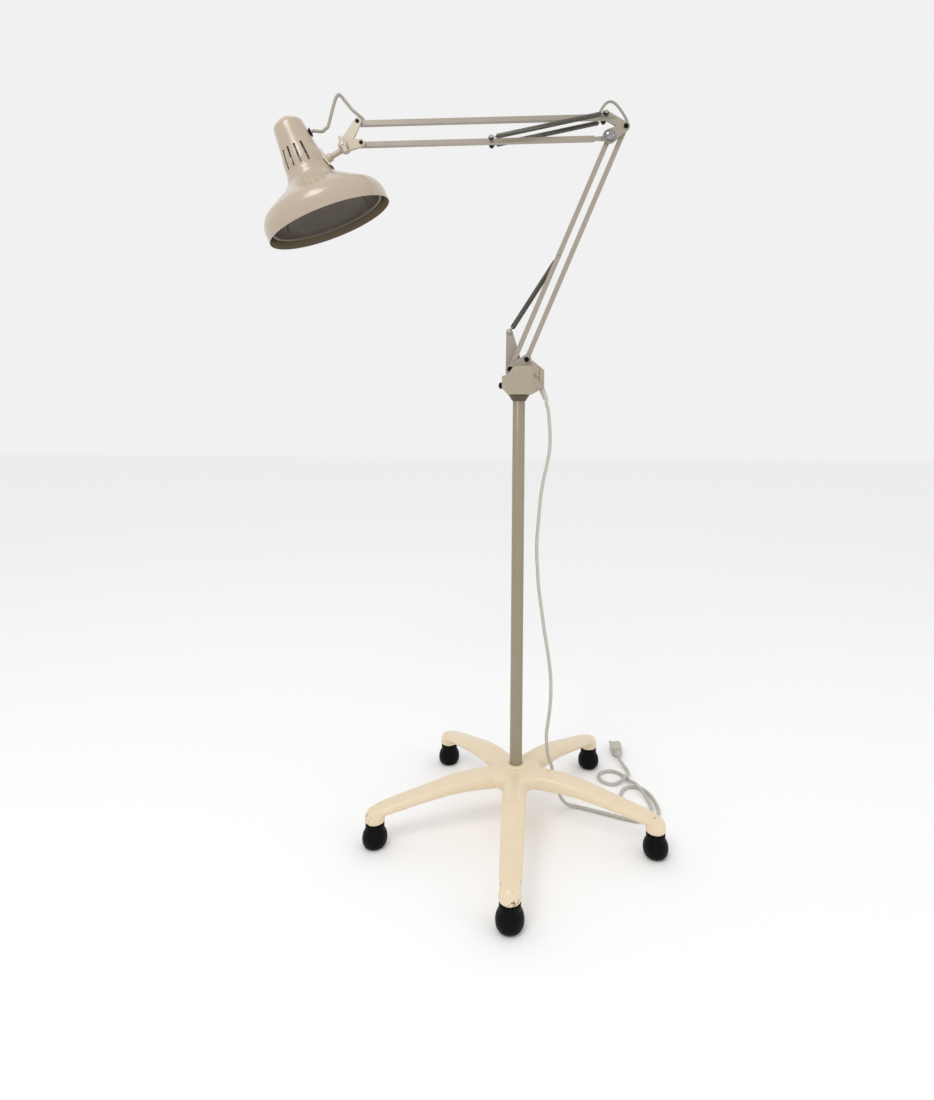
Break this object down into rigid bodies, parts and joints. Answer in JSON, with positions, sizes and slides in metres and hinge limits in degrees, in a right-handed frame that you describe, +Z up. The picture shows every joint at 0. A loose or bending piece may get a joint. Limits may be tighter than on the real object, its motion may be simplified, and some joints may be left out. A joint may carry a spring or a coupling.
{
  "type": "floor lamp",
  "caption": "Spring-balanced task floor lamp: two-section parallelogram arm and vented bell shade on a swivelling head, fixed pole and star base with glides",
  "frame": {"origin": "on the floor, under the middle of the lamp without its mains cord and plug", "axes": "+Z up along the pole, +X towards the elbow and away from the shade, +Y to the back"},
  "size_m": [0.8199, 0.622, 1.4749],
  "materials": {
    "cream": "satin",
    "arm": "satin",
    "housing": "satin",
    "pole": "satin",
    "steel": "satin",
    "spring": "satin",
    "black": "matt",
    "chrome": "polished",
    "cable": "matt",
    "mains": "matt",
    "liner": "satin",
    "porcelain": "gloss",
    "bulb": "frosted"
  },
  "bodies": {
    "stand": {"star_base": "cream", "glide_front": "black", "glide_front_right": "black", "glide_back_right": "black", "glide_back_left": "black", "glide_front_left": "black", "pole": "pole", "pole_bolt": "steel", "pole_bush": "black", "mains_cord": "mains", "plug": "mains", "plug_pins": "steel"},
    "turret": {"swivel_pin": "steel", "arm_bracket": "arm", "spring_lever": "arm", "housing_front": "housing", "housing_back": "housing", "housing_screw_low": "steel", "housing_screw_high": "steel", "pivot_pin_front": "steel", "pivot_pin_rear": "steel", "lower_spring_bolt": "chrome", "cord_gland": "mains"},
    "button": {"switch_button": "black"},
    "lower_front": {"lower_bar_front": "arm", "lower_spring_pin": "steel"},
    "lower_rear": {"lower_bar_rear": "arm"},
    "lower_coil": {"lower_spring": "spring"},
    "lower_coil_end": {"lower_spring_hook": "spring"},
    "elbow": {"elbow_plate": "cream", "elbow_bolt": "steel", "elbow_screw": "black", "elbow_spring_pin": "steel", "elbow_spool_near": "black", "elbow_spool_far": "black", "elbow_cable": "cable"},
    "knob": {"elbow_knob": "chrome"},
    "upper_top": {"upper_bar_top": "arm"},
    "upper_bottom": {"upper_bar_bottom": "arm", "bar_tongue": "steel", "bar_spring_pin": "steel", "bar_spool_near": "black", "bar_spool_far": "black"},
    "upper_coils": {"upper_spring_near": "spring", "upper_spring_far": "spring"},
    "upper_coil_ends": {"upper_hook_near": "spring", "upper_hook_far": "spring"},
    "head_joint": {"head_bracket": "cream", "head_pin_top": "black", "head_pin_bottom": "black", "clamp_bolt": "steel", "head_cable": "cable"},
    "wing": {"wing_nut": "cream"},
    "stem": {"head_stem": "cream"},
    "head": {"shade": "cream", "shade_foot": "cream", "reflector": "liner", "lamp_socket": "porcelain", "bulb": "bulb", "neck_grommet": "black"}
  },
  "joints": [
    {"name": "arm_swivel", "type": "hinge", "parent": "stand", "child": "turret", "pos_m": [0.11496, 0.02324, 0.875], "axis": [0, 0, 1], "range_deg": [-170, 170], "deforming": ["mains_cord"]},
    {"name": "lower_arm", "type": "hinge", "parent": "turret", "child": "lower_front", "pos_m": [0.09645, 0.02324, 0.9195], "axis": [0, 1, 0], "range_deg": [-40, 18]},
    {"name": "lower_arm_rear", "type": "hinge", "parent": "turret", "child": "lower_rear", "pos_m": [0.12945, 0.02324, 0.9395], "axis": [0, 1, 0], "range_deg": [-41, 19]},
    {"name": "elbow_level", "type": "hinge", "parent": "lower_rear", "child": "elbow", "pos_m": [0.32544, 0.02324, 1.41034], "axis": [0, 1, 0], "range_deg": [-19, 41]},
    {"name": "lower_spring_swing", "type": "hinge", "parent": "turret", "child": "lower_coil", "pos_m": [0.09456, 0.02324, 0.9975], "axis": [0, 1, 0], "range_deg": [-27, 12.7]},
    {"name": "lower_spring_reach", "type": "slide", "parent": "lower_coil", "child": "lower_coil_end", "axis": [0.9699, 0, -0.2434], "range_m": [-0.09648, 0.04347], "deforming": ["lower_spring", "lower_spring_hook"]},
    {"name": "upper_arm", "type": "hinge", "parent": "elbow", "child": "upper_top", "pos_m": [0.28445, 0.02324, 1.43334], "axis": [0, 1, 0], "range_deg": [-15, 30], "deforming": ["elbow_cable"]},
    {"name": "upper_arm_lower_bar", "type": "hinge", "parent": "elbow", "child": "upper_bottom", "pos_m": [0.29245, 0.02324, 1.39034], "axis": [0, 1, 0], "range_deg": [-16, 31]},
    {"name": "upper_spring_swing", "type": "hinge", "parent": "elbow", "child": "upper_coils", "pos_m": [0.28445, 0.02324, 1.43334], "axis": [0, 1, 0], "range_deg": [-12.1, 23.2]},
    {"name": "upper_spring_reach", "type": "slide", "parent": "upper_coils", "child": "upper_coil_ends", "axis": [0.3951, 0, 0.9186], "range_m": [-0.0206, 0.0411], "deforming": ["upper_spring_near", "upper_spring_far", "upper_hook_near", "upper_hook_far"]},
    {"name": "head_level", "type": "hinge", "parent": "upper_top", "child": "head_joint", "pos_m": [-0.21525, 0.02324, 1.41589], "axis": [0, 1, 0], "range_deg": [-31, 16]},
    {"name": "head_tilt", "type": "hinge", "parent": "head_joint", "child": "stem", "pos_m": [-0.24205, 0.02324, 1.36599], "axis": [0, 1, 0], "range_deg": [-12, 42], "deforming": ["head_cable"]},
    {"name": "head_roll", "type": "hinge", "parent": "stem", "child": "head", "pos_m": [-0.24205, 0.02324, 1.36599], "axis": [-0.8519, 0, -0.5237], "range_deg": [-30, 30]},
    {"name": "wing_nut_turn", "type": "hinge", "parent": "head_joint", "child": "wing", "pos_m": [-0.24205, 0.02324, 1.36599], "axis": [0, 1, 0], "continuous": true},
    {"name": "elbow_knob_turn", "type": "hinge", "parent": "elbow", "child": "knob", "pos_m": [0.29245, 0.02324, 1.39034], "axis": [0, 1, 0], "continuous": true},
    {"name": "switch_press", "type": "slide", "parent": "turret", "child": "button", "axis": [1, 0, 0], "range_m": [0, 0.0024], "stiffness_N_per_m": 500}
  ],
  "couplings": [
    {"joint": "lower_arm_rear", "follows": "lower_arm", "ratio": 1},
    {"joint": "elbow_level", "follows": "lower_arm", "ratio": -1},
    {"joint": "lower_spring_swing", "follows": "lower_arm", "ratio": 0.65},
    {"joint": "lower_spring_reach", "follows": "lower_arm", "m_per_rad": 0.13805},
    {"joint": "upper_arm_lower_bar", "follows": "upper_arm", "ratio": 1},
    {"joint": "upper_spring_swing", "follows": "upper_arm", "ratio": 0.74},
    {"joint": "upper_spring_reach", "follows": "upper_arm", "m_per_rad": 0.07831},
    {"joint": "head_level", "follows": "upper_arm", "ratio": -1}
  ]
}
